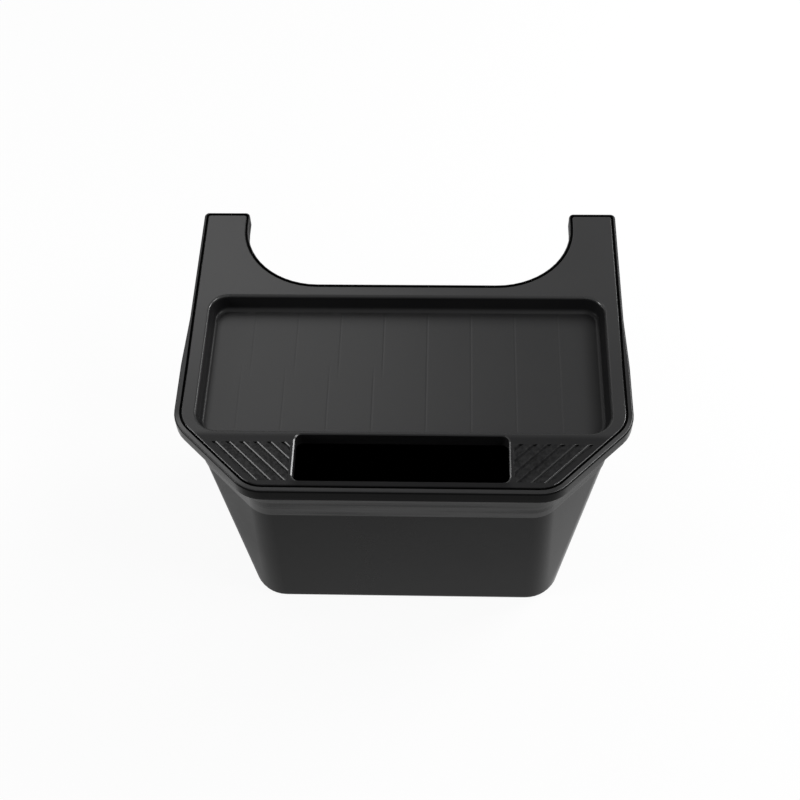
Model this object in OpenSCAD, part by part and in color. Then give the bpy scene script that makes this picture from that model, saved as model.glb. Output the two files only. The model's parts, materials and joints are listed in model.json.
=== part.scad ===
// Storage box that stands behind a centre console: a tapered moulded bin whose rim
// reaches back in two ears round the console, and a lift-off lid with a tray and a slot.
// Front is -Y, up is +Z, and the origin is under the middle of the rim's outline.

/* [Overall size] */
// Width over the rim
box_w = 300; // [280:1:330]
// Depth from the front of the rim to the tips of the ears
box_d = 236; // [225:1:260]
// Height from the floor to the top of the rim
box_h = 160; // [110:1:220]

/* [Plan of the rim] */
// Leg of the 45 degree chamfer across each front corner
chamfer_leg = 52; // [44:0.5:58]
// Rounding of the two bends of each chamfer
chamfer_r = 25; // [16:0.5:32]
// How far each side draws in between the bin and its ear
side_step = 1.6; // [0:0.1:4]
// Where that draw-in starts, from the front of the rim
step_start = 100; // [90:1:110]
// Length over which each side draws in
step_run = 40; // [30:1:60]
// Width of the console cut-out between the ears
cutout_w = 230.5; // [200:1:240]
// Depth of the cut-out from the tips of the ears
cutout_d = 66.5; // [56:0.5:72]
// Rounding of the two inner corners of the cut-out
cutout_r = 53; // [30:1:58]
// Rounding of the ear tips
tip_r = 3; // [2.5:0.1:6]

/* [Rim and walls] */
// Width of the rim's top face at the front and beside the bin
rim_w = 3.5; // [3:0.1:5]
// Width of the rim's top face along the outer sides of the ears
ear_rim_w = 1.6; // [1.5:0.1:2.8]
// Width of the rim's top face round the cut-out and the ear tips
cut_rim_w = 0.8; // [0.8:0.1:2]
// Height of the skirt that hangs from the rim
skirt_h = 10; // [8:0.5:14]
// Rounding of the rim's upper outer edge
rim_edge_r = 1.4; // [0.6:0.1:1.4]
// Width of that rounding round the cut-out and the ear tips
cut_edge_w = 0.5; // [0.3:0.05:0.6]
// Thickness of the bin's walls
wall = 2.2; // [1.6:0.1:2.8]
// Thickness of the skirt
skirt_t = 1.6; // [1.2:0.1:1.8]
// Thickness of the shelf that carries the lid
shelf_t = 2.2; // [1.6:0.1:3]
// Thickness of the bin's floor
floor_t = 2.6; // [2:0.1:4]
// Thickness of the gussets under the rim
gusset_t = 1.5; // [1:0.1:2]
// Spacing of the gussets from front to back
gusset_pitch = 31; // [24:1:40]
// How far the gussets stop short of the skirt's lower edge
gusset_rise = 2; // [1:0.5:4]

/* [Bin taper and base] */
// How far each side leans in from the shelf to the floor
side_lean = 31.5; // [20:0.5:42]
// How far the front leans in from the shelf to the floor
front_lean = 5; // [2:0.5:16]
// How far the back leans in from the shelf to the floor
back_lean = 8; // [2:0.5:16]
// Rounding of the base's upright corners
base_r = 24; // [16:0.5:30]
// Rounding between the walls and the floor outside
base_edge_r = 2.5; // [2:0.1:5]
// Width of the ring that the base stands on
foot_w = 13; // [8:0.5:20]
// Height of the recess inside that ring
foot_h = 1.2; // [0.8:0.1:1.8]
// Height of the plain band under the skirt
band_h = 27; // [15:0.5:40]
// Depth of the step between the plain band and the textured wall
band_step = 0.4; // [0.2:0.05:0.6]

/* [Lid] */
// Thickness of the lid, which is the depth of its seat in the rim
lid_t = 3; // [2.4:0.1:4]
// Gap between the lid's edge and the rim
lid_gap = 1.5; // [0.6:0.1:1.6]
// Rounding of the lid's upper outer edge
lid_edge_r = 0.7; // [0.4:0.05:0.8]
// Wall of the tray and of the slot's collar
lid_wall = 1.6; // [1.4:0.1:1.6]
// Clearance between the bin's mouth and the slot's collar
collar_gap = 1.2; // [0.4:0.1:1.4]
// Clearance between the bin's mouth and the tray
tray_gap = 2.4; // [1.4:0.1:2.6]

/* [Tray] */
// Depth of the tray
tray_h = 12; // [8:0.5:16]
// Width of the lid from its side edge to the tray's wall
side_strip = 9.6; // [8.2:0.1:13]
// Width of the lid from the cut-out to the tray's wall
back_strip = 8.8; // [7.6:0.1:13]
// Rounding of the tray's mouth
tray_edge_r = 1.9; // [0.6:0.1:2]
// Rounding of the tray's front corners in plan
tray_front_r = 14.8; // [12:0.1:22]
// Rounding of the tray's back corners in plan
tray_back_r = 12.3; // [9:0.1:22]
// How far the tray's walls lean in to the floor
tray_lean = 1.6; // [0.5:0.1:3]
// Rounding between the tray's walls and its floor
tray_floor_r = 3.5; // [2:0.5:7]
// Spacing of the ribs under the tray
rib_pitch = 29.9; // [24:0.1:33]
// How many ribs each row has
rib_count = 8; // [4:2:8]
// Thickness of the ribs under the tray
rib_t = 1.4; // [1:0.1:2]
// Height of the ribs under the tray
rib_h = 3; // [2:0.1:5]
// How far the front row's left ribs stand outwards of the back row's
rib_shift = 6; // [0:0.5:8]
// Break between the two rows of ribs
rib_break = 8; // [4:0.5:16]

/* [Slot] */
// Width of the slot through the lid
slot_w = 138; // [110:1:150]
// Depth of the slot from front to back
slot_d = 35; // [28:0.5:40]
// Rounding of the slot's corners
slot_r = 4.5; // [3:0.1:8]
// Flat strip in front of the slot
slot_strip = 3.8; // [3.6:0.1:6]
// Width of the bar between the slot and the tray's wall
slot_bar = 3; // [2.8:0.1:4.5]
// How far the slot's collar reaches below the lid's top
collar_h = 11; // [8:0.5:14]

/* [Grip panels] */
// Flat strip between a grip panel and the lid's edge
panel_strip = 3.8; // [3:0.1:6]
// Flat strip between a grip panel and the slot
panel_slot_strip = 2.4; // [1.6:0.1:5]
// Flat strip between a grip panel and the tray
panel_tray_strip = 9; // [6:0.5:12]
// Depth of the grooves
groove_h = 1.2; // [0.6:0.1:1.6]
// Spacing of the slanting grooves, measured across them
groove_pitch = 6.35; // [5:0.05:9]
// Width of a groove
groove_w = 2.4; // [1.8:0.1:3]
// Width of the slope on a groove's side towards the slot and at its front end
groove_slope = 1.1; // [0.2:0.1:1.3]
// Flat between a panel's slanting side and its first groove
groove_start = 0.4; // [0.3:0.05:3]

/* [Hidden] */

overlap = 1;
bin_colour = [0.13, 0.13, 0.135];
lid_colour = [0.17, 0.17, 0.175];

// Places seen from above
front_y = -box_d / 2;
back_y = box_d / 2;
half_w = box_w / 2;
cutout_y = back_y - cutout_d;

// The lid's outline lies inside the rim by the rim's own width and the gap
lid_in = rim_w + lid_gap;
lid_ear_in = ear_rim_w + lid_gap;
lid_cut_in = cut_rim_w + lid_gap;

// Levels
seat_z = box_h - lid_t;
shelf_z = seat_z - shelf_t;
skirt_z = box_h - skirt_h;
band_z = skirt_z - band_h;
tray_z = box_h - tray_h;

// Slot and tray, from the lid's front edge backwards
slot_front_y = front_y + lid_in + slot_strip;
slot_back_y = slot_front_y + slot_d;
tray_front_y = slot_back_y + slot_bar;
tray_back_y = cutout_y - lid_cut_in - back_strip;
tray_half_w = half_w - lid_in - side_strip;

// Mouth of the bin, clear of the tray and of the slot's collar
mouth_out = lid_wall + tray_gap;
mouth_half_w = tray_half_w + mouth_out;
mouth_front_y = slot_front_y - lid_wall - collar_gap;
mouth_back_y = tray_back_y + mouth_out;
mouth_back_r = tray_back_r + mouth_out;
mouth_chamfer_r = tray_front_r + mouth_out;
// The 45 degree line that just clears the tray's rounded front corner
mouth_line = tray_half_w - tray_front_y - 2 * tray_front_r + sqrt(2) * mouth_chamfer_r;
mouth_leg = mouth_half_w - mouth_front_y - mouth_line;
// Leg of the chamfer that turns into a plain quarter round of the base's radius
base_leg = base_r * (2 - sqrt(2));

// Numbers of chords in each kind of round
bend_steps = 5;
sweep_steps = 4;
tip_steps = 4;
cutout_steps = 14;
quarter_steps = 8;
edge_steps = 3;
mouth_steps = 5;
floor_steps = 5;

function unit(v) = v / norm(v);
function mix(a, b, t) = a + (b - a) * t;
function turned(a) = a > 180 ? a - 360 : (a < -180 ? a + 360 : a);

// Points of the arc that rounds the corner b between a and c; a corner is [x, y, radius, chords]
function corner_arc(a, b, c) =
    let (
        here = [b[0], b[1]],
        to_a = unit([a[0], a[1]] - here),
        to_c = unit([c[0], c[1]] - here),
        half = acos(to_a * to_c) / 2,
        reach = b[2] / tan(half),
        middle = here + unit(to_a + to_c) * b[2] / sin(half),
        from = here + to_a * reach - middle,
        to = here + to_c * reach - middle,
        start = atan2(from[1], from[0]),
        sweep = turned(atan2(to[1], to[0]) - start)
    )
    [for (i = [0 : b[3]]) middle + b[2] * [cos(start + sweep * i / b[3]), sin(start + sweep * i / b[3])]];

// Outline through rounded corners, and the same corners mirrored to the left side
function outline(corners) =
    let (n = len(corners))
    [for (i = [0 : n - 1]) each corner_arc(corners[(i + n - 1) % n], corners[i], corners[(i + 1) % n])];
function both_sides(right) =
    concat(right, [for (i = [len(right) - 1 : -1 : 0]) [-right[i][0], right[i][1], right[i][2], right[i][3]]]);

// The rim's plan, set in by its own amount round the bin, outside the ears and round the cut-out
function rim_plan(bin_in, ear_in, cut_in) =
    let (
        shift = bin_in * (sqrt(2) - 1),
        ear_x = half_w - side_step - ear_in
    )
    outline(both_sides([
        [half_w - chamfer_leg - shift, front_y + bin_in, chamfer_r - bin_in, bend_steps],
        [half_w - bin_in, front_y + chamfer_leg + shift, chamfer_r - bin_in, bend_steps],
        [half_w - bin_in, front_y + step_start, step_run, sweep_steps],
        [ear_x, front_y + step_start + step_run, step_run, sweep_steps],
        [ear_x, back_y - cut_in, tip_r - ear_in / 2, tip_steps],
        [cutout_w / 2 + cut_in, back_y - cut_in, tip_r - cut_in / 2, tip_steps],
        [cutout_w / 2 + cut_in, cutout_y - cut_in, cutout_r + cut_in, cutout_steps]
    ]));

// The bin's plan with chamfered front corners and rounded back corners
function bin_plan(x, y0, y1, leg, leg_r, back_r) =
    outline(both_sides([
        [x - leg, y0, leg_r, bend_steps],
        [x, y0 + leg, leg_r, bend_steps],
        [x, y1, back_r, quarter_steps]
    ]));

// The bin's plan at height z, set in by an amount from the outside of the wall
function bin_at(z, in) =
    let (
        t = (seat_z - z) / seat_z,
        shift = in * (2 - sqrt(2)),
        x = mouth_half_w + wall - side_lean * t,
        y0 = mouth_front_y - wall + front_lean * t,
        y1 = mouth_back_y + wall - back_lean * t,
        leg = mix(mouth_leg + wall * (2 - sqrt(2)), base_leg, t) - shift,
        leg_r = mix(mouth_chamfer_r + wall, base_r, t) - in,
        back_r = mix(mouth_back_r + wall, base_r, t) - in
    )
    bin_plan(x - in, y0 + in, y1 - in, leg, leg_r, back_r);

// The tray's plan, set in from the top of its wall
function tray_plan(in) =
    outline(both_sides([
        [tray_half_w - in, tray_front_y + in, tray_front_r - in, quarter_steps],
        [tray_half_w - in, tray_back_y - in, tray_back_r - in, quarter_steps]
    ]));

// Closed skin over plans stacked upwards; a section is [height, points]
module loft(sections) {
    n = len(sections[0][1]);
    top = len(sections) - 1;
    points = [for (s = sections) for (p = s[1]) [p[0], p[1], s[0]]];
    sides = [for (s = [0 : top - 1]) for (i = [0 : n - 1])
        let (j = (i + 1) % n)
        each [[s * n + i, (s + 1) * n + i, s * n + j], [s * n + j, (s + 1) * n + i, (s + 1) * n + j]]];
    polyhedron(points, concat([[for (i = [0 : n - 1]) i]], sides, [[for (i = [n - 1 : -1 : 0]) top * n + i]]));
}

// Heights and insets of a convex round of radius r, from its outer end to its inner end
function round_steps(r, steps) =
    [for (i = [0 : steps]) [r * sin(90 * i / steps), r * (1 - cos(90 * i / steps))]];

// The same, the last chord running on past its end, where a flat cut ends it
function round_past(r, steps) =
    let (s = round_steps(r, steps))
    [for (i = [0 : steps]) i < steps ? s[i] : mix(s[i - 1], s[i], 1.5)];

// Everything between two levels
module level_slab(z0, z1) {
    translate([-box_w, -box_d, z0])
        cube([2 * box_w, 2 * box_d, z1 - z0]);
}

// Outside of the rim with its skirt, the upper outer edge rounded
module rim_block() {
    intersection() {
        loft(concat(
            [[skirt_z - overlap, rim_plan(0, 0, 0)]],
            [for (s = round_past(rim_edge_r, edge_steps))
                [box_h - rim_edge_r + s[0], rim_plan(s[1], s[1], s[1] * cut_edge_w / rim_edge_r)]]
        ));
        level_slab(skirt_z, box_h);
    }
}

// Outside of the bin's tapered walls, from the floor into the shelf
module bin_outside() {
    top_z = shelf_z + shelf_t / 2;
    loft(concat(
        [for (i = [edge_steps : -1 : 0])
            let (s = round_steps(base_edge_r, edge_steps)[i])
            [base_edge_r - s[0], bin_at(base_edge_r - s[0], s[1] + band_step)]],
        [
            [band_z - band_step, bin_at(band_z - band_step, band_step)],
            [band_z, bin_at(band_z, 0)],
            [top_z, bin_at(top_z, 0)]
        ]
    ));
}

// Space inside the bin, open at the top
module bin_inside() {
    inner_r = base_edge_r + wall / 2;
    side_in = wall + band_step;
    top_z = seat_z + overlap;
    loft(concat(
        [for (i = [edge_steps : -1 : 0])
            let (s = round_steps(inner_r, edge_steps)[i], z = floor_t + inner_r - s[0])
            [z, bin_at(z, side_in + s[1])]],
        [
            [band_z, bin_at(band_z, side_in)],
            [top_z, bin_at(top_z, wall)]
        ]
    ));
}

// Gussets from front to back under the shelf, between the two sides of the skirt
module gussets() {
    first_y = front_y + chamfer_leg + gusset_t;
    intersection() {
        translate([0, 0, skirt_z + gusset_rise])
            linear_extrude(shelf_z - skirt_z - gusset_rise + shelf_t / 2)
                polygon(rim_plan(skirt_t / 2, skirt_t / 2, skirt_t / 2));
        for (y = [first_y : gusset_pitch : back_y - skirt_t])
            translate([-half_w, y - gusset_t / 2, skirt_z])
                cube([box_w, gusset_t, skirt_h]);
    }
}

// Rim with its skirt, hollow from below up to the shelf
module rim() {
    difference() {
        rim_block();
        translate([0, 0, skirt_z - overlap])
            linear_extrude(shelf_z - skirt_z + overlap)
                polygon(rim_plan(skirt_t, skirt_t, skirt_t));
    }
}

module bin_body() {
    color(bin_colour)
        difference() {
            union() {
                rim();
                gussets();
                bin_outside();
            }
            // seat for the lid
            translate([0, 0, seat_z])
                linear_extrude(lid_t + overlap)
                    polygon(rim_plan(rim_w, ear_rim_w, cut_rim_w));
            bin_inside();
            // recess inside the ring that the base stands on
            translate([0, 0, -overlap])
                linear_extrude(foot_h + overlap)
                    polygon(bin_at(0, base_edge_r + foot_w));
        }
}

// Lid plate with its upper outer edge rounded
module lid_plate() {
    intersection() {
        loft(concat(
            [[seat_z - overlap, rim_plan(lid_in, lid_ear_in, lid_cut_in)]],
            [for (s = round_past(lid_edge_r, edge_steps))
                [box_h - lid_edge_r + s[0],
                    rim_plan(lid_in + s[1], lid_ear_in + s[1], lid_cut_in + s[1])]]
        ));
        level_slab(seat_z, box_h);
    }
}

// Rounded foot of the tray, grown outwards by a wall
function tray_foot(grow) =
    let (r = tray_floor_r + grow)
    [for (i = [floor_steps : -1 : 0])
        let (s = round_steps(r, floor_steps)[i])
        [tray_z - grow + r - s[0], tray_plan(tray_lean + s[1] - grow)]];

// Outside of the tray, up into the lid plate
module tray_outside() {
    loft(concat(
        tray_foot(lid_wall),
        [[box_h - lid_t / 2, tray_plan(-lid_wall)]]
    ));
}

// Hollow of the tray with the rounded edge at its mouth
module tray_hollow() {
    loft(concat(
        tray_foot(0),
        [for (s = round_past(tray_edge_r, mouth_steps))
            [box_h - tray_edge_r + s[0], tray_plan(-s[1])]]
    ));
}

// Slot's plan, grown outwards by a wall
module slot_plan(grow) {
    polygon(outline(both_sides([
        [slot_w / 2 + grow, slot_front_y - grow, slot_r + grow, tip_steps],
        [slot_w / 2 + grow, slot_back_y + grow, slot_r + grow, tip_steps]
    ])));
}

// Two rows of ribs under the tray's floor
module tray_ribs() {
    row_front = tray_front_y + tray_floor_r + tray_lean;
    row_back = tray_back_y - tray_floor_r - tray_lean;
    middle = (row_front + row_back) / 2;
    row_d = middle - rib_break / 2 - row_front;
    for (i = [0 : rib_count - 1]) {
        x = (i - (rib_count - 1) / 2) * rib_pitch;
        front_x = x < 0 ? x - rib_shift : x;
        translate([x - rib_t / 2, middle + rib_break / 2, tray_z - lid_wall - rib_h])
            cube([rib_t, row_d, rib_h + lid_wall / 2]);
        translate([front_x - rib_t / 2, row_front, tray_z - lid_wall - rib_h])
            cube([rib_t, row_d, rib_h + lid_wall / 2]);
    }
}

// Edges of the right grip panel: its slanting side follows the chamfer
panel_in = lid_in + panel_strip;
panel_line = half_w - chamfer_leg - front_y - panel_in * sqrt(2);
panel_front_y = front_y + panel_in;
panel_back_y = tray_front_y - panel_tray_strip;
panel_inner_x = slot_w / 2 + panel_slot_strip;

// Section of a groove seen along it: a slope at one side and an upright wall at the other
function groove_section(slope_at, wall_at) =
    let (run = sign(wall_at - slope_at) * groove_slope)
    [
        [slope_at + run, -groove_h],
        [slope_at - run * overlap / groove_h, overlap],
        [wall_at, overlap],
        [wall_at, -groove_h]
    ];

// Bar that cuts one groove along the chamfer's direction, d in from the panel's slanting side
module groove_bar(d) {
    run = (panel_back_y - panel_front_y) * sqrt(2) + groove_w + 2 * overlap;
    translate([panel_line + panel_front_y, panel_front_y, box_h])
        rotate(45)
            translate([-d - groove_w - overlap, 0, 0])
                rotate([90, 0, 90])
                    linear_extrude(run)
                        polygon(groove_section(d + groove_w, d));
}

// Grooves of the right grip panel, ended by the slopes beside the slot and at the front
module grip_grooves() {
    across = (panel_line + panel_back_y - panel_inner_x) / sqrt(2);
    intersection() {
        union()
            for (d = [groove_start : groove_pitch : across - groove_slope])
                groove_bar(d);
        translate([0, panel_back_y + overlap, box_h])
            rotate([90, 0, 0])
                linear_extrude(panel_back_y - panel_front_y + 2 * overlap)
                    polygon(groove_section(panel_inner_x, half_w));
        translate([0, 0, box_h])
            rotate([90, 0, 90])
                linear_extrude(half_w)
                    polygon(groove_section(panel_front_y, panel_back_y));
    }
}

module lid() {
    color(lid_colour)
        difference() {
            union() {
                lid_plate();
                tray_outside();
                translate([0, 0, box_h - collar_h])
                    linear_extrude(collar_h - lid_t / 2)
                        slot_plan(lid_wall);
                tray_ribs();
            }
            tray_hollow();
            translate([0, 0, tray_z - lid_wall - overlap])
                linear_extrude(tray_h + lid_wall + 2 * overlap)
                    slot_plan(0);
            grip_grooves();
            mirror([1, 0, 0])
                grip_grooves();
        }
}

bin_body();
lid();
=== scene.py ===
import json
from math import cos, radians, sin

import bpy
from mathutils import Matrix, Vector

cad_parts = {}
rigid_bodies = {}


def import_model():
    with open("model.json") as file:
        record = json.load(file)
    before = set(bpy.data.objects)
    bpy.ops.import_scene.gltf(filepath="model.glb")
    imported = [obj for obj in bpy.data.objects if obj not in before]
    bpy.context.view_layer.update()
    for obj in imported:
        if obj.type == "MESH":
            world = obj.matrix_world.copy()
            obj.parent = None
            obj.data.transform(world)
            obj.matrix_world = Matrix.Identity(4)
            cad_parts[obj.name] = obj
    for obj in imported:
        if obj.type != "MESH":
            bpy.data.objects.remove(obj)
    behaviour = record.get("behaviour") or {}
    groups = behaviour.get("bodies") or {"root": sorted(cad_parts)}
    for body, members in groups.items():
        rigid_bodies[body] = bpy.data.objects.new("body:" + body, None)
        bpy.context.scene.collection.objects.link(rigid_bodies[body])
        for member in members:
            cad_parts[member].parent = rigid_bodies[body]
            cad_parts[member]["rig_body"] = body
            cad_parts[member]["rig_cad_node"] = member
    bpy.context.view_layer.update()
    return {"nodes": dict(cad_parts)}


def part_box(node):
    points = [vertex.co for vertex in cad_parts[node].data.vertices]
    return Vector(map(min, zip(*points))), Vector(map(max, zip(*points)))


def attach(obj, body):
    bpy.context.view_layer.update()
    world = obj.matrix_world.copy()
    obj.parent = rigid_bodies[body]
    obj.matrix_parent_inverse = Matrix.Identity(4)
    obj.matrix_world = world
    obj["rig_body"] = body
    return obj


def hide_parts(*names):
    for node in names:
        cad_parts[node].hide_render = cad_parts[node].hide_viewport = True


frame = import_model()
mm = 0.001
far = 1.0                                 # beyond every edge of the part, either way
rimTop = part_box("bin_body")[1].z          # the rim's top face, level with the lid's
print("frame loaded, rim top at", round(rimTop, 4))


# Small helpers round the operators

meshLimits = {
    "near": 0.05 * mm,          # how closely a point has to match a named place
    "merge": 0.001 * mm,
    "level": 0.9,               # least upward share of a level face's normal
    "flatWithin": 0.3,          # degrees between the facets of one flat face
    "sharp": 60,                # degrees, from where an edge is rounded
    "grooveSharp": 30,          # the same round the grip panels' grooves
    "smooth": 30.5,             # degrees, up to where faces are shaded as one
    "slightTilt": (0.0001, 0.004),  # of a sink mark's faces: 1 less the normal's upward share
}


def pickOnly(thing):
    bpy.ops.object.select_all(action="DESELECT")
    thing.select_set(True)
    bpy.context.view_layer.objects.active = thing


def openMesh(piece, kind):
    pickOnly(piece)
    bpy.ops.object.mode_set(mode="EDIT")
    bpy.ops.mesh.select_mode(type=kind)
    bpy.ops.mesh.select_all(action="DESELECT")


def closeMesh():
    bpy.ops.object.mode_set(mode="OBJECT")


def pickIn(piece, kind, wanted):
    # leaves edit mode for a moment, because picks are set on the object's own mesh
    openMesh(piece, kind)
    closeMesh()
    mesh = piece.data
    parts = {"VERT": mesh.vertices, "EDGE": mesh.edges, "FACE": mesh.polygons}[kind]
    picked = 0
    for part in parts:
        part.select = wanted(part)
        picked += part.select
    bpy.ops.object.mode_set(mode="EDIT")
    return picked


def cornersOf(piece, part):
    return [piece.data.vertices[i].co for i in part.vertices]


def mouldingFrom(nodeName, newName):
    # a merged copy of a CAD node, with each flat face made whole again
    pickOnly(frame["nodes"][nodeName])
    bpy.ops.object.duplicate()
    piece = bpy.context.active_object
    piece.name = piece.data.name = newName
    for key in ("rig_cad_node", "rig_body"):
        del piece[key]
    bpy.ops.object.parent_clear(type="CLEAR_KEEP_TRANSFORM")
    bpy.ops.object.mode_set(mode="EDIT")
    bpy.ops.mesh.select_all(action="SELECT")
    bpy.ops.mesh.remove_doubles(threshold=meshLimits["merge"])
    bpy.ops.mesh.customdata_custom_splitnormals_clear()
    bpy.ops.mesh.dissolve_limited(angle_limit=radians(meshLimits["flatWithin"]))
    closeMesh()
    piece.data.materials.clear()
    return piece


def roundSharpEdges(piece, width, segments, sharpest, wanted, clamped=True):
    openMesh(piece, "EDGE")
    bpy.ops.mesh.edges_select_sharp(sharpness=radians(sharpest))
    closeMesh()
    picked = 0
    for edge in piece.data.edges:
        if edge.select and not wanted(cornersOf(piece, edge)):
            edge.select = False
        picked += edge.select
    for part in (*piece.data.vertices, *piece.data.polygons):
        part.select = False
    bpy.ops.object.mode_set(mode="EDIT")
    bpy.ops.mesh.bevel(offset=width, segments=segments, affect="EDGES", clamp_overlap=clamped)
    closeMesh()
    print("  rounded", picked, "edges of", piece.name, "at", round(width / mm, 2), "mm")


def smoothed(piece):
    # the faces of the sink marks are tilted so little that they would be lost, so they stay flat
    pickOnly(piece)
    bpy.ops.object.shade_smooth_by_angle(angle=radians(meshLimits["smooth"]))
    least, most = meshLimits["slightTilt"]
    for face in piece.data.polygons:
        if least < 1 - face.normal.z < most:
            face.use_smooth = False
    flats = piece.modifiers.new("flatFacesStayFlat", "WEIGHTED_NORMAL")
    flats.keep_sharp = True
    bpy.ops.object.modifier_apply(modifier=flats.name)


# Helpers for materials. A source is a socket, or a plain number.

def newMaterial(name):
    material = bpy.data.materials.new(name)
    material.use_nodes = True
    return material, material.node_tree, material.node_tree.nodes["Principled BSDF"]


def addNode(tree, kind, links=(), **settings):
    node = tree.nodes.new(kind)
    for key, value in settings.items():
        if hasattr(node, key):
            setattr(node, key, value)
        else:
            node.inputs[key.replace("_", " ")].default_value = value
    for socket, source in links:
        if isinstance(source, float):
            node.inputs[socket].default_value = source
        else:
            tree.links.new(source, node.inputs[socket])
    return node


def ranged(tree, value, span, results=(0.0, 1.0), kind="LINEAR"):
    return addNode(tree, "ShaderNodeMapRange", [("Value", value)], interpolation_type=kind,
                   From_Min=span[0], From_Max=span[1],
                   To_Min=results[0], To_Max=results[1]).outputs[0]


def maths(tree, operation, first, second=0.0):
    return addNode(tree, "ShaderNodeMath", [(0, first), (1, second)],
                   operation=operation).outputs[0]


def product(tree, first, *others):
    for other in others:
        first = maths(tree, "MULTIPLY", first, other)
    return first


def between(tree, value, low, high, soft):
    # 1 where the value lies between two limits, with soft ends
    return product(tree, ranged(tree, value, (low - soft, low + soft), kind="SMOOTHSTEP"),
                   ranged(tree, value, (high + soft, high - soft), kind="SMOOTHSTEP"))


def fading(tree, value, ends):
    # from 1 at the first place to a share at the second
    start, stop, share = ends
    return ranged(tree, value, (start, stop), (1.0, share), "SMOOTHSTEP")


def blended(tree, share, first, second):
    # the first source where the share is 0, the second where it is 1
    return addNode(tree, "ShaderNodeMix", [("Factor", share), (2, first), (3, second)]).outputs[0]


# Black plastic: colour and roughness run from the first to the second value over a soft noise.
# How much it mirrors at a right angle is its specular level.

plasticLook = {
    "lid": {"colours": ((0.008, 0.008, 0.0083, 1), (0.0095, 0.0095, 0.0098, 1)),
            "roughness": (0.31, 0.35), "specular": 0.34, "cloud": 90 * mm},
    # rim: its corner specular is a painted highlight on the cut-off corners
    "rim": {"colours": ((0.008, 0.008, 0.0083, 1), (0.0095, 0.0095, 0.0098, 1)),
            "roughness": (0.31, 0.35), "specular": 0.21, "cornerSpecular": 0.5,
            "cloud": 60 * mm},
    # the skirt: a darker, duller copy of the rim's plastic, as painted shade; its corners' higher
    # specular is a painted highlight
    "skirt": {"colours": ((0.004, 0.004, 0.0041, 1), (0.005, 0.005, 0.0051, 1)),
              "roughness": (0.14, 0.24), "specular": 0.02, "cornerSpecular": 0.06,
              "cloud": 30 * mm, "stretch": (0.3, 0.3, 12)},
    # the seam round the lid: near-black and dull, as painted shade
    "gap": {"colours": ((0.002, 0.002, 0.002, 1), (0.003, 0.003, 0.003, 1)),
            "roughness": (0.5, 0.6), "specular": 0.04, "cloud": 60 * mm},
    # the left grip panel's groove slopes: more specular than the panel, as a painted highlight
    "edge": {"colours": ((0.008, 0.008, 0.0083, 1), (0.0095, 0.0095, 0.0098, 1)),
             "roughness": (0.26, 0.3), "specular": 0.24, "cloud": 20 * mm},
    # painted glints: a more specular copy for small edges, standing in for highlights
    "paintedGlint": {"colours": ((0.008, 0.008, 0.0083, 1), (0.0095, 0.0095, 0.0098, 1)),
             "roughness": (0.22, 0.26), "specular": 0.42, "cloud": 20 * mm},
    # wall: its right specular is a painted sheen on the right corner
    "wall": {"colours": ((0.0075, 0.0075, 0.0076, 1), (0.0095, 0.0095, 0.0096, 1)),
             "roughness": (0.22, 0.28), "specular": 0.045, "rightSpecular": 0.062,
             "leftRougher": 0.1, "rightSmoother": 0.1, "cloud": 50 * mm},
    # band: its line specular is a painted highlight in a thin line below the skirt
    "band": {"colours": ((0.006, 0.006, 0.0061, 1), (0.024, 0.024, 0.0242, 1)),
             "roughness": (0.2, 0.5), "specular": 0.18, "lineSpecular": 0.4,
             "streaks": (0.6, 1.35), "cloud": 36 * mm, "stretch": (0.25, 0.25, 8)},
}
noiseLook = {
    "cloudDetail": 5.0,
    "cloudRoughness": 0.6,
    "tintSpan": (0.35, 0.65),    # stretch of the noise over which the colour changes
    "roughSpan": (0.3, 0.7),
    "grainSize": 0.7 * mm,
    "grainDetail": 2.0,
    "grainDepth": 0.008 * mm,
}


def plastic(kind):
    # the material and those of its nodes and sockets that a variant builds on
    look = plasticLook[kind]
    material, tree, shader = newMaterial(kind + "Plastic")
    place = addNode(tree, "ShaderNodeTexCoord").outputs["Object"]
    cloudPlace = place
    if "stretch" in look:
        cloudPlace = addNode(tree, "ShaderNodeMapping", [("Vector", place)],
                             Scale=look["stretch"]).outputs[0]
    clouds = addNode(tree, "ShaderNodeTexNoise", [("Vector", cloudPlace)], Scale=1 / look["cloud"],
                     Detail=noiseLook["cloudDetail"],
                     Roughness=noiseLook["cloudRoughness"]).outputs["Fac"]
    tint = ranged(tree, clouds, noiseLook["tintSpan"])
    colour = addNode(tree, "ShaderNodeMix", [("Factor", tint)], data_type="RGBA")
    colour.inputs[6].default_value, colour.inputs[7].default_value = look["colours"]
    tree.links.new(colour.outputs[2], shader.inputs["Base Color"])
    rough = ranged(tree, clouds, noiseLook["roughSpan"], look["roughness"])
    tree.links.new(rough, shader.inputs["Roughness"])
    shader.inputs["Specular IOR Level"].default_value = look["specular"]
    grain = addNode(tree, "ShaderNodeTexNoise", [("Vector", place)],
                    Scale=1 / noiseLook["grainSize"], Detail=noiseLook["grainDetail"])
    bump = addNode(tree, "ShaderNodeBump", [("Height", grain.outputs["Fac"])], Strength=1.0,
                   Distance=noiseLook["grainDepth"]).outputs[0]
    tree.links.new(bump, shader.inputs["Normal"])
    return {"material": material, "tree": tree, "inputs": shader.inputs, "place": place,
            "tint": tint, "rough": rough, "bump": bump}


def axesOf(made):
    axes = addNode(made["tree"], "ShaderNodeSeparateXYZ", [(0, made["place"])])
    return [axes.outputs[name] for name in "XYZ"]


def setGloss(made, source):
    made["tree"].links.new(source, made["inputs"]["Specular IOR Level"])


gapMaterial = plastic("gap")["material"]   # painted shade: a near-black, dull plastic for the seam round the lid, on both pieces


# Bin: one moulding, with fine level lines round its walls

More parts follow.
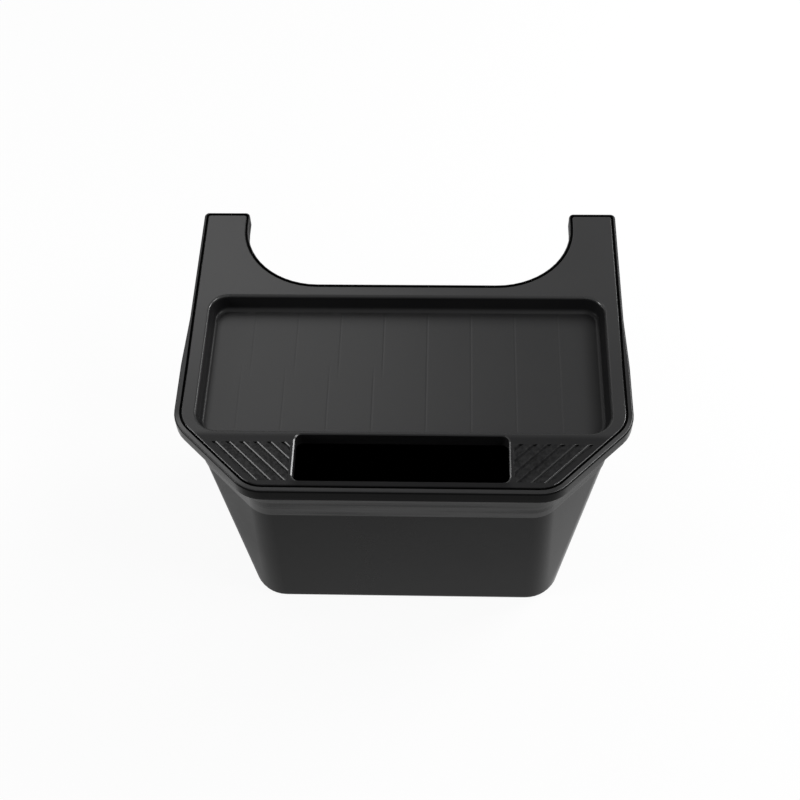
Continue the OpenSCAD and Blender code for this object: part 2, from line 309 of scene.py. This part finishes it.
binSizes = {
    "skirtZ": 150 * mm,         # lower edge of the skirt
    "seatZ": 157 * mm,          # the seat that carries the lid
    "stepZ": 122.6 * mm,        # where the textured wall starts
    "baseRoundZ": 2.5 * mm,     # where the rounding of the base ends
    "rimRound": 0.14 * mm,
    "rimSteps": 2,
    "skirtRound": 0.45 * mm,
    "skirtSteps": 3,
    "lineCuts": (10, 9),        # each wall strip is cut across, then each piece of it again
    "lineDepth": 0.1 * mm,
    "lineSlack": (0.01, 0.02),  # how closely a cut's place has to match, as a share of a step
    "cornerX": 90 * mm,         # the walls get smoother from the left corner to the right one
    "cornerFromX": 102 * mm,    # the rim's cut-off corners
    "cornerToY": -62 * mm,
    "cornerSoft": 6 * mm,
    "brightLine": (4 * mm, 1 * mm),  # a painted highlight: the band gets brighter between these depths below the skirt
    "skirtSlack": 0.6 * mm,
    "seatSlack": 0.5 * mm,
    "outsideUpright": 0.85,     # a face that looks out is the skirt's if its normal rises less
    "insideUpright": 0.2,       # and one that looks in gets the seam's painted shade
}


def makeBin():
    s = binSizes
    near = meshLimits["near"]
    piece = mouldingFrom("bin_body", "binMoulding")
    # the rim's inner edge at the top, then the skirt's lower edge
    for z, width, steps in ((rimTop, s["rimRound"], s["rimSteps"]),
                            (s["skirtZ"], s["skirtRound"], s["skirtSteps"])):
        roundSharpEdges(piece, width, steps, meshLimits["sharp"],
                        lambda c: all(abs(p.z - z) < near for p in c))

    # fine lines: each upright strip of the textured wall is cut across, every other ring set in
    low, high = s["baseRoundZ"], s["stepZ"]
    firstCuts, nextCuts = s["lineCuts"]
    coarse = (high - low) / (firstCuts + 1)
    rings = (firstCuts + 1) * (nextCuts + 1)

    def isUprightEdge(edge):
        ends = sorted(p.z for p in cornersOf(piece, edge))
        return abs(ends[0] - low) < near and abs(ends[1] - high) < near

    def isCutEdge(edge):
        ends = sorted(p.z for p in cornersOf(piece, edge))
        steps = [(z - low) / coarse for z in ends]
        return (abs(ends[1] - ends[0] - coarse) < near
                and all(abs(k - round(k)) < s["lineSlack"][0] for k in steps)
                and ends[0] > low - near and ends[1] < high + near)

    def inGroove(vert):
        step = (vert.co.z - low) / (high - low) * rings
        return (0.5 < step < rings - 0.5 and abs(step - round(step)) < s["lineSlack"][1]
                and round(step) % 2 == 1)

    strips = pickIn(piece, "EDGE", isUprightEdge)
    bpy.ops.mesh.subdivide(number_cuts=firstCuts)
    closeMesh()
    pickIn(piece, "EDGE", isCutEdge)
    bpy.ops.mesh.subdivide(number_cuts=nextCuts)
    closeMesh()
    grooves = pickIn(piece, "VERT", inGroove)
    bpy.ops.transform.shrink_fatten(value=-s["lineDepth"])
    closeMesh()
    print("  bin walls:", strips, "strips,", grooves, "groove points")
    return piece


def wallPlastic(s):
    # smoother towards the right, and more specular on the right corner as a painted sheen
    made, look = plastic("wall"), plasticLook["wall"]
    tree = made["tree"]
    x = axesOf(made)[0]
    change = ranged(tree, x, (-s["cornerX"], s["cornerX"]),
                    (look["leftRougher"], -look["rightSmoother"]))
    tree.links.new(maths(tree, "ADD", made["rough"], change), made["inputs"]["Roughness"])
    setGloss(made, ranged(tree, x, (s["cornerX"], s["cornerFromX"]),
                          (look["specular"], look["rightSpecular"]), "SMOOTHSTEP"))
    return made["material"]


def bandPlastic(s):
    # level streaks, and a painted highlight in a thin line below the skirt
    made, look = plastic("band"), plasticLook["band"]
    tree = made["tree"]
    z = axesOf(made)[2]
    line = ranged(tree, z, [s["skirtZ"] - depth for depth in s["brightLine"]],
                  (look["specular"], look["lineSpecular"]), "SMOOTHSTEP")
    setGloss(made, product(tree, line, ranged(tree, made["tint"], (0.0, 1.0), look["streaks"])))
    return made["material"]


def cornerPlastic(kind, s):
    # more specular on the two cut-off corners, as a painted highlight
    made, look = plastic(kind), plasticLook[kind]
    tree = made["tree"]
    x, y = axesOf(made)[:2]
    side = maths(tree, "ABSOLUTE", x)
    share = product(tree, between(tree, side, s["cornerFromX"], far, s["cornerSoft"]),
                    between(tree, y, -far, s["cornerToY"], s["cornerSoft"]))
    setGloss(made, ranged(tree, share, (0.0, 1.0), (look["specular"], look["cornerSpecular"])))
    return made["material"]


def paintBin(piece):
    s = binSizes
    for material in (wallPlastic(s), bandPlastic(s), cornerPlastic("rim", s),
                     cornerPlastic("skirt", s), gapMaterial):
        piece.data.materials.append(material)
    wall, band, rim, skirt, gap = range(5)
    # the skirt takes a darker copy of the rim's plastic, and the seam's faces a near-black one,
    # both as painted shade
    for face in piece.data.polygons:
        c, n = face.center, face.normal
        looksOut = c.x * n.x + c.y * n.y > 0
        if c.z < s["skirtZ"] - s["skirtSlack"]:
            face.material_index = band if c.z > s["stepZ"] and looksOut else wall
        elif abs(n.z) < (s["outsideUpright"] if looksOut else s["insideUpright"]):
            face.material_index = skirt if looksOut else gap
        else:
            face.material_index = rim if c.z > s["seatZ"] + s["seatSlack"] else gap


# Lid: one moulding with tray, slot and grip panels

lidSizes = {
    "plateDepth": 2.7 * mm,     # down to just above the plate's underside
    "slotHalfW": 69 * mm,
    "slotFrontY": -109.2 * mm,
    "slotBackY": -74.2 * mm,
    "slotRound": 0.8 * mm,      # width of the slope round the slot, whose lower ring is raised
    "slotSink": 0.5 * mm,       # to this depth
    "panelInnerX": 71.4 * mm,
    "panelFrontY": -109.2 * mm,
    "panelBackY": -80.2 * mm,
    "panelSlant": 203.6 * mm,   # sum of the distances from the two middle planes at the slant
    "grooveRound": 0.15 * mm,
    "grooveReach": 1.5 * mm,    # down to below the grooves
    "edgeRound": 0.75 * mm,     # rounding of the lid's outline
    "mouthX": 137.6 * mm,       # the tray's mouth
    "mouthFrontY": -73.4 * mm,
    "mouthBackY": 42.6 * mm,
    "mouthRound": 1.95 * mm,
    "trayFloorZ": 148 * mm,
    "sinkPitch": 29.9 * mm,
    "sinkCount": 8,
    "sinkShift": 6 * mm,        # the front row's left marks stand further out
    "sinkHalfW": 1.0 * mm,
    "sinkDepth": 0.06 * mm,
    "frontRow": (-63 * mm, -20 * mm),
    "backRow": (-11 * mm, 33 * mm),
    "margin": 1 * mm,           # round a stretch, where its faces are picked by their centres
}

# where the lid's specular level is raised or lowered by place, and how much; the fades of the top
# and of the tray, and the darker mouth rounding on the right, are painted shade
lidShine = {
    "topFade": (60 * mm, -70 * mm, 0.76),   # y: the top's specular level falls a little towards the front, as painted shade
    "frontY": -74 * mm,                     # and duller still in front of this
    "frontSoft": 2.5 * mm,
    "frontSpecular": 0.1,
    "barSoft": (0.5 * mm, 4 * mm),          # the bar in front of the slot, along y and x
    "barSpecular": 0.04,
    "mouthSpecular": 0.12,                  # the rounding of the tray's mouth on the right, darkened as painted shade
    "mouthSoft": (0.1 * mm, 0.05 * mm),     # level and upright
    "mouthTop": 0.1 * mm,
    "trayTop": 2 * mm,                      # the tray, up to this depth
    "traySoft": (0.1 * mm, 0.3 * mm),
    "traySpecular": 0.27,
    "backFade": (20 * mm, 38 * mm, 0.65),   # y: the tray is darker towards its back, as painted shade
    "rightFade": (119 * mm, 132 * mm, 0.4),         # x: and towards its right side, as painted shade
    "leftFade": (-127 * mm, -132 * mm, 0.5),        # x: and its left side, as painted shade
    "wallFade": (148.1 * mm, 150 * mm, 0.2),        # z: and up its walls, as painted shade
    "leftWallFade": (-133.4 * mm, -134.4 * mm, 4.0),    # x: but less so up the left one
    "panelSoft": 0.3 * mm,                  # soft blotches on the grip panels
    "mottleSize": 2.4 * mm,
    "mottleDetail": 3.0,
    "mottleRoughness": 0.65,
    "mottleDepth": 0.1 * mm,
    "mottleShine": (0.4, 1.5),
    "glintBackY": 60 * mm,       # the painted glint on the outline's edge reaches up to here, at its sides
    "glintFromX": 96 * mm,
    "glintX": 122 * mm,          # and painted glints sit on the tray's back corners, beyond these
    "glintY": 25 * mm,
    "glintFacing": -0.15,        # as far as they look to the front
    "upright": 0.1,             # limits of a normal's upward share
    "slope": (0.3, 0.95),
    "tilted": (0.1, 0.97),
    "slotSideways": 0.25,       # and the least sideways share on the slot's two sides
}


def makeLid():
    s = lidSizes
    near, margin = meshLimits["near"], s["margin"]
    piece = mouldingFrom("lid", "lidMoulding")

    def atTop(c):
        return all(abs(p.z - rimTop) < near for p in c)

    def roundSlot(c):
        middle = (c[0] + c[1]) / 2
        return (atTop(c) and abs(middle.x) < s["slotHalfW"] + near
                and s["slotFrontY"] - near < middle.y < s["slotBackY"] + near)

    def onSlotRing(vert):
        p = vert.co
        return (abs(p.z - rimTop + s["slotRound"]) < near and abs(p.x) < s["slotHalfW"] + near
                and p.y < s["slotBackY"] + near)

    def roundPanels(c):
        middle = (c[0] + c[1]) / 2
        return (atTop(c) and abs(middle.x) > s["slotHalfW"] + margin
                and s["panelFrontY"] - margin < middle.y < s["panelBackY"] + margin)

    roundSharpEdges(piece, s["slotRound"], 1, meshLimits["sharp"], roundSlot, clamped=False)
    pickIn(piece, "VERT", onSlotRing)
    bpy.ops.transform.translate(value=(0, 0, s["slotRound"] - s["slotSink"]))
    closeMesh()
    roundSharpEdges(piece, s["grooveRound"], 1, meshLimits["grooveSharp"], roundPanels)

    # sink marks in the tray's floor, over the ribs beneath it
    def onFloor(face):
        return (abs(face.center.z - s["trayFloorZ"]) < near
                and face.normal.z > meshLimits["level"] and face.center.y > s["slotBackY"])

    def cutFloor(place, normal):
        pickIn(piece, "FACE", onFloor)
        bpy.ops.mesh.bisect(plane_co=place, plane_no=normal)
        closeMesh()

    marks = []
    for i in range(s["sinkCount"]):
        x = (i - (s["sinkCount"] - 1) / 2) * s["sinkPitch"]
        marks.append((x, s["backRow"]))
        marks.append((x - s["sinkShift"] if x < 0 else x, s["frontRow"]))
    for x in sorted({x + side * s["sinkHalfW"] for x, row in marks for side in (-1, 0, 1)}):
        cutFloor((x, 0, 0), (1, 0, 0))
    for y in (*s["frontRow"], *s["backRow"]):
        cutFloor((0, y, 0), (0, 1, 0))

    def inMark(vert):
        p = vert.co
        return abs(p.z - s["trayFloorZ"]) < near and any(
            abs(p.x - x) < near and row[0] - near < p.y < row[1] + near for x, row in marks)

    sunk = pickIn(piece, "VERT", inMark)
    bpy.ops.transform.translate(value=(0, 0, -s["sinkDepth"]))
    closeMesh()
    print("  lid:", sunk, "points of sink marks")
    return piece


def lidGloss(tree, side, x, y, z):
    # the specular level all over the lid: each stretch takes over from what is under it; the top's
    # fade, the tray's fades and the right mouth stretch are painted shade
    s, shine = lidSizes, lidShine
    gloss = product(tree, fading(tree, y, shine["topFade"]), plasticLook["lid"]["specular"])
    front = between(tree, y, -far, shine["frontY"], shine["frontSoft"])
    bar = product(tree, between(tree, y, -far, s["slotFrontY"], shine["barSoft"][0]),
                  between(tree, side, -far, s["slotHalfW"], shine["barSoft"][1]))
    level, upright = shine["mouthSoft"]
    alongMouth = between(tree, y, s["mouthFrontY"], s["mouthBackY"], level)
    mouth = product(tree, between(tree, x, s["mouthX"] - s["mouthRound"], s["mouthX"], level),
                    between(tree, z, -far, rimTop - shine["mouthTop"], upright), alongMouth)
    level, upright = shine["traySoft"]
    tray = product(tree, between(tree, z, -far, rimTop - shine["trayTop"], upright),
                   between(tree, side, -far, s["mouthX"], level), alongMouth)
    trayGloss = product(tree, fading(tree, y, shine["backFade"]),
                        fading(tree, x, shine["rightFade"]), fading(tree, x, shine["leftFade"]),
                        fading(tree, z, shine["wallFade"]),
                        fading(tree, x, shine["leftWallFade"]), shine["traySpecular"])
    for share, source in ((front, shine["frontSpecular"]), (bar, shine["barSpecular"]),
                          (mouth, shine["mouthSpecular"]), (tray, trayGloss)):
        gloss = blended(tree, share, gloss, source)
    return gloss


def lidPlastic():
    # the plain lid plastic, with its specular level varied by place, partly as painted shade, and
    # mottled on the grip panels
    s, shine = lidSizes, lidShine
    made = plastic("lid")
    tree = made["tree"]
    x, y, z = axesOf(made)
    side = maths(tree, "ABSOLUTE", x)
    panel = product(tree, between(tree, side, s["panelInnerX"], far, shine["panelSoft"]),
                    between(tree, y, s["panelFrontY"], s["panelBackY"], shine["panelSoft"]),
                    between(tree, maths(tree, "SUBTRACT", side, y), 0, s["panelSlant"],
                            shine["panelSoft"]))
    blotches = addNode(tree, "ShaderNodeTexNoise", [("Vector", made["place"])],
                       Scale=1 / shine["mottleSize"], Detail=shine["mottleDetail"],
                       Roughness=shine["mottleRoughness"]).outputs["Fac"]
    mottled = ranged(tree, blotches, noiseLook["tintSpan"], shine["mottleShine"])
    setGloss(made, product(tree, lidGloss(tree, side, x, y, z),
                           blended(tree, panel, 1.0, mottled)))
    bumps = addNode(tree, "ShaderNodeBump",
                    [("Height", product(tree, blotches, panel)), ("Normal", made["bump"])],
                    Strength=1.0, Distance=shine["mottleDepth"]).outputs[0]
    tree.links.new(bumps, made["inputs"]["Normal"])
    return made["material"]


def paintLid(piece):
    s, shine = lidSizes, lidShine
    margin = s["margin"]
    for material in (lidPlastic(), gapMaterial, plastic("edge")["material"],
                     plastic("paintedGlint")["material"]):
        piece.data.materials.append(material)
    plain, gap, edge, paintedGlint = range(4)
    for face in piece.data.polygons:
        c, n = face.center, face.normal
        side, depth = abs(c.x), rimTop - c.z
        isSlope = shine["slope"][0] < n.z < shine["slope"][1]
        isTilted = shine["tilted"][0] < n.z < shine["tilted"][1]
        inPanel = side > s["panelInnerX"] - margin and side - c.y < s["panelSlant"] + margin
        # the seam's faces get the painted seam shade
        onSeam = abs(n.z) < shine["upright"] and depth < s["plateDepth"] and not inPanel
        # the slot's sides, the outline's edge and the tray's back corners get painted glints
        onSlotSide = (isSlope and abs(n.x) > shine["slotSideways"] and depth < margin
                      and side < s["slotHalfW"] + margin
                      and s["slotFrontY"] - margin < c.y < s["slotBackY"] + margin)
        # the left panel's groove slopes get a more specular copy, as a painted highlight
        onGroove = (isSlope and inPanel and c.x < 0 and depth < s["grooveReach"]
                    and s["panelFrontY"] - margin < c.y < s["panelBackY"] + margin)
        onOutline = (isTilted and c.x * n.x + c.y * n.y > 0 and depth < s["edgeRound"]
                     and c.y < shine["glintBackY"] and side > shine["glintFromX"])
        onTrayCorner = (isTilted and c.x * n.x < 0 and n.y < shine["glintFacing"]
                        and depth < s["mouthRound"] and side > shine["glintX"]
                        and shine["glintY"] < c.y < s["mouthBackY"])
        face.material_index = (edge if onGroove
                               else paintedGlint if onSlotSide or onOutline or onTrayCorner
                               else gap if onSeam else plain)


binPiece = makeBin()
lidPiece = makeLid()
paintBin(binPiece)
paintLid(lidPiece)
for piece, node, body, slotName in ((binPiece, "bin_body", "bin", "bin_plastic"),
                                    (lidPiece, "lid", "lid", "lid_plastic")):
    smoothed(piece)
    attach(piece, body)
    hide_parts(node)
    print(piece.name, "has", len(piece.data.polygons), "faces")


# Floor, world, lamps and camera

stageLook = {
    "floorSize": 12.0,
    "floorColour": (0.8, 0.8, 0.8, 1),
    "floorGlow": 0.92,          # share of plain white that is seen in the floor
    "worldLight": 0.2,
}


def anyDirectRay(tree):
    # 1 for what the camera sees, straight, mirrored or through
    seen = addNode(tree, "ShaderNodeLightPath").outputs
    ray = seen["Is Camera Ray"]
    for kind in ("Is Glossy Ray", "Is Transmission Ray"):
        ray = maths(tree, "MAXIMUM", ray, seen[kind])
    return ray


def makeFloor():
    bpy.ops.mesh.primitive_plane_add(size=stageLook["floorSize"])
    floor = bpy.context.active_object
    floor.name = "studioFloor"
    material, tree, shader = newMaterial("floorPaint")
    tree.nodes.remove(shader)
    paint = addNode(tree, "ShaderNodeBsdfDiffuse", Color=stageLook["floorColour"])
    glow = addNode(tree, "ShaderNodeEmission", Color=(1, 1, 1, 1), Strength=1.0)
    share = product(tree, anyDirectRay(tree), stageLook["floorGlow"])
    blend = addNode(tree, "ShaderNodeMixShader",
                    [(0, share), (1, paint.outputs[0]), (2, glow.outputs[0])])
    tree.links.new(blend.outputs[0], tree.nodes["Material Output"].inputs["Surface"])
    floor.data.materials.append(material)


def makeWorld():
    world = bpy.data.worlds.new("studioWorld")
    bpy.context.scene.world = world
    world.use_nodes = True
    tree = world.node_tree
    light = tree.nodes["Background"]
    light.inputs["Color"].default_value = (1, 1, 1, 1)
    light.inputs["Strength"].default_value = stageLook["worldLight"]
    white = addNode(tree, "ShaderNodeBackground", Color=(1, 1, 1, 1), Strength=1.0)
    blend = addNode(tree, "ShaderNodeMixShader",
                    [(0, anyDirectRay(tree)), (1, light.outputs[0]), (2, white.outputs[0])])
    tree.links.new(blend.outputs[0], tree.nodes["World Output"].inputs["Surface"])


# a lamp stands in a direction from the middle of the lid's top, at a distance in metres
lamps = {
    "leftSoftbox": {"towards": (-0.92, -0.25, 0.3), "away": 1.3, "size": (0.45, 0.45),
                    "watts": 8.3},
    "leftBackSpot": {"towards": (-0.76, 0.53, 0.38), "away": 1.2, "size": (0.2, 0.15),
                     "watts": 0.9},
    "rightSoftbox": {"towards": (0.64, -0.18, 0.745), "away": 1.3, "size": (0.45, 0.45),
                     "watts": 7.2},
    "rightStrip": {"towards": (0.78, 0.415, 0.47), "away": 1.2, "size": (0.6, 0.25),
                   "watts": 11},
    "backSoftbox": {"towards": (-0.31, 0.56, 0.77), "away": 1.5, "size": (0.9, 0.7),
                    "watts": 3.8},
}


def makeLamps():
    target = Vector((0, 0, rimTop))
    for name, lamp in lamps.items():
        place = target + Vector(lamp["towards"]).normalized() * lamp["away"]
        bpy.ops.object.light_add(type="AREA", location=place)
        light = bpy.context.active_object
        light.name = light.data.name = name
        light.data.shape = "RECTANGLE"
        light.data.size, light.data.size_y = lamp["size"]
        light.data.energy = lamp["watts"]
        light.rotation_euler = (target - place).to_track_quat("-Z", "Y").to_euler()


# fitted to the photo
cameraSizes = {
    "place": (0.03015, -0.56702, 0.90454),
    "pitch": 55,                # down from level, degrees
    "yaw": -3.531,
    "roll": -2.387,
    "lens": 62.4,
    "sensor": 36.0,
}


def makeCamera():
    c = cameraSizes
    pitch, yaw, roll = (radians(c[k]) for k in ("pitch", "yaw", "roll"))
    ahead = Vector((sin(yaw) * cos(pitch), cos(yaw) * cos(pitch), -sin(pitch)))
    right = Vector((cos(yaw), -sin(yaw), 0))
    up = right.cross(ahead)
    level = cos(roll) * right + sin(roll) * up
    tall = -sin(roll) * right + cos(roll) * up
    bpy.ops.object.camera_add()
    camera = bpy.context.active_object
    camera.name = "photoCamera"
    camera.data.lens, camera.data.sensor_width = c["lens"], c["sensor"]
    turn = Matrix((level, tall, -ahead)).transposed().to_4x4()
    camera.matrix_world = Matrix.Translation(c["place"]) @ turn
    bpy.context.scene.camera = camera


makeFloor()
makeWorld()
makeLamps()
makeCamera()
bpy.context.scene.view_settings.view_transform = "Standard"
print("stage, lamps and camera set")
